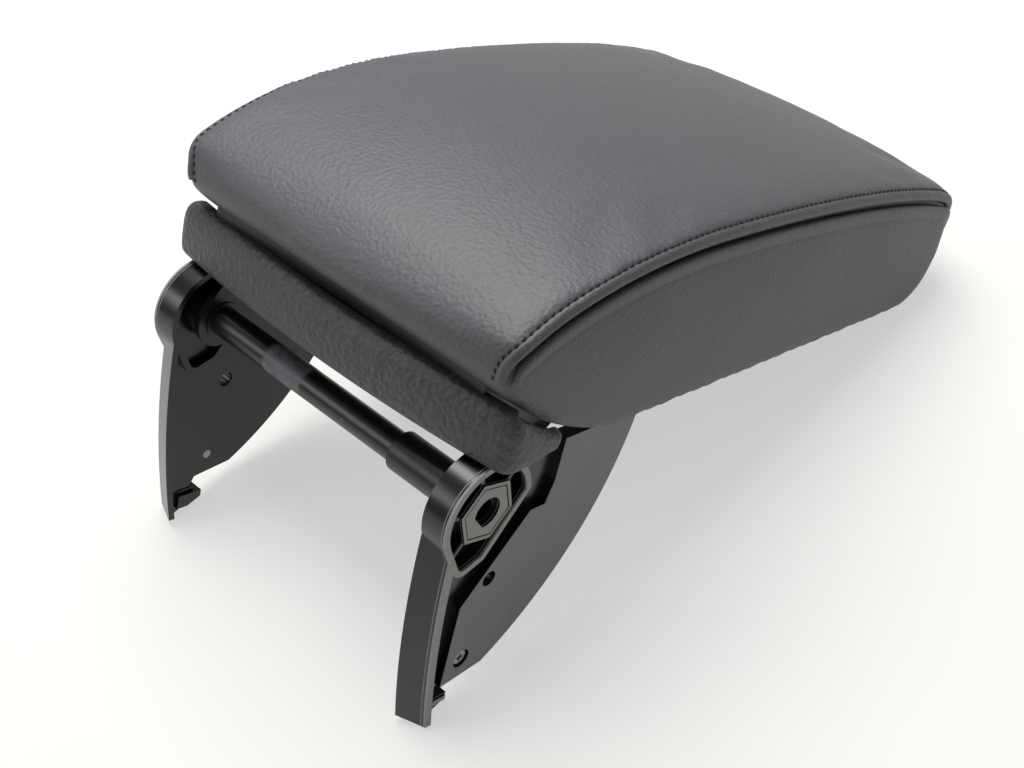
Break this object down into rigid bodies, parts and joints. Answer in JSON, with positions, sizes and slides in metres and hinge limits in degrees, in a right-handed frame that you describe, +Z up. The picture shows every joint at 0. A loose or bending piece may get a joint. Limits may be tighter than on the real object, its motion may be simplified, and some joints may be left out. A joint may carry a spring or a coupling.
{
  "type": "car armrest",
  "caption": "Padded centre armrest for a car: a sewn vinyl lid on a foam core, hinged on a cross tube between two plastic bracket legs that screw to the console.",
  "frame": {"origin": "on the floor under the middle of the bounding box", "axes": "+X to the armrest's right, along the hinge axis; +Y forward, towards the lid's free end; +Z up from the floor it rests on"},
  "size_m": [0.182, 0.3606, 0.1691],
  "materials": {
    "vinyl": "grained vinyl, satin",
    "foam": "open-cell moulded foam",
    "trim_plastic": "moulded leather grain",
    "leg_plastic": "smooth moulded, semi-gloss",
    "insert_plastic": "smooth",
    "sleeve_plastic": "smooth",
    "tube_paint": "semi-gloss black",
    "steel": "zinc plated"
  },
  "bodies": {
    "bracket": {"leg_left": "leg_plastic", "leg_right": "leg_plastic", "hex_insert_left": "insert_plastic", "hex_insert_right": "insert_plastic", "leg_screws": "steel", "cross_tube": "tube_paint", "friction_sleeve": "sleeve_plastic"},
    "lid": {"hinge_ear_left": "tube_paint", "hinge_ear_right": "tube_paint", "ear_bush_left": "sleeve_plastic", "ear_bush_right": "sleeve_plastic", "ear_screws": "steel", "lid_shell": "leg_plastic", "lid_pan": "leg_plastic", "pan_screws": "steel", "trim_screws": "steel", "rear_trim": "trim_plastic", "foam_pad": "foam", "cover_top": "vinyl", "cover_side_left": "vinyl", "cover_side_right": "vinyl"}
  },
  "joints": [
    {"name": "lid_hinge", "type": "hinge", "parent": "bracket", "child": "lid", "pos_m": [0, -0.13175, 0.09174], "axis": [1, 0, 0], "range_deg": [0, 65]}
  ]
}
